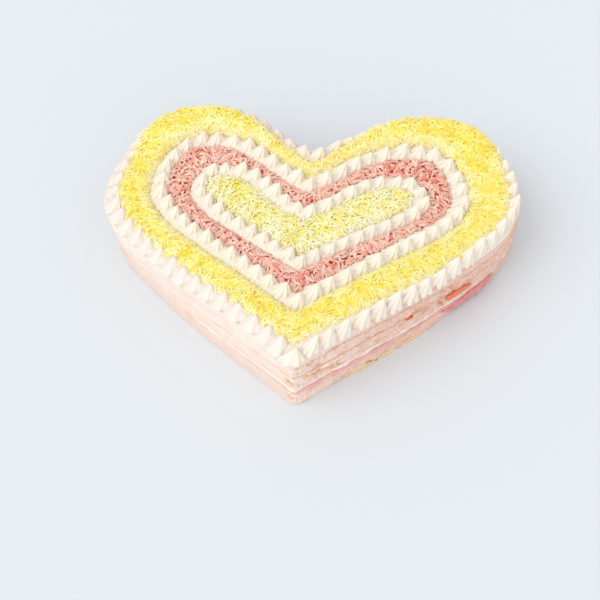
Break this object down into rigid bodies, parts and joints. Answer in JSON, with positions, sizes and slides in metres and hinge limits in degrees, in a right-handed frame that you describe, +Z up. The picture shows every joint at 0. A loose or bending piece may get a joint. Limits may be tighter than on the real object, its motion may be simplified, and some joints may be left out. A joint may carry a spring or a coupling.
{
  "type": "heart shaped sandwich cake",
  "caption": "Heart shaped savoury layer cake of bread slices with ham, cream and carrot fillings, topped with piped cream stars and bands of cheese and ham shreds",
  "frame": {"origin": "under the middle of the cake, on the surface it stands on", "axes": "+Z up, the tip of the heart towards -Y, the right lobe towards +X"},
  "size_m": [0.2938, 0.2381, 0.0632],
  "materials": {
    "bread": "matte",
    "ham": "satin",
    "cream": "satin",
    "carrot": "satin",
    "cheese": "satin",
    "pale_cheese": "satin"
  },
  "bodies": {
    "root": {"cheese_slice": "cheese", "bread_bottom": "bread", "ham_slice": "ham", "cream_lower": "cream", "bread_second": "bread", "carrot_filling": "carrot", "bread_third": "bread", "cream_upper": "cream", "bread_top": "bread", "cream_top": "cream", "carrot_slice": "carrot", "carrot_strand": "carrot", "carrot_sliver": "carrot", "carrot_bit_right_1": "carrot", "carrot_bit_right_2": "carrot", "carrot_bit_left_1": "carrot", "carrot_bit_left_2": "carrot", "stars_outer": "cream", "stars_middle": "cream", "stars_inner": "cream", "shreds_cheese": "cheese", "shreds_ham": "ham", "shreds_centre": "pale_cheese"}
  },
  "joints": []
}
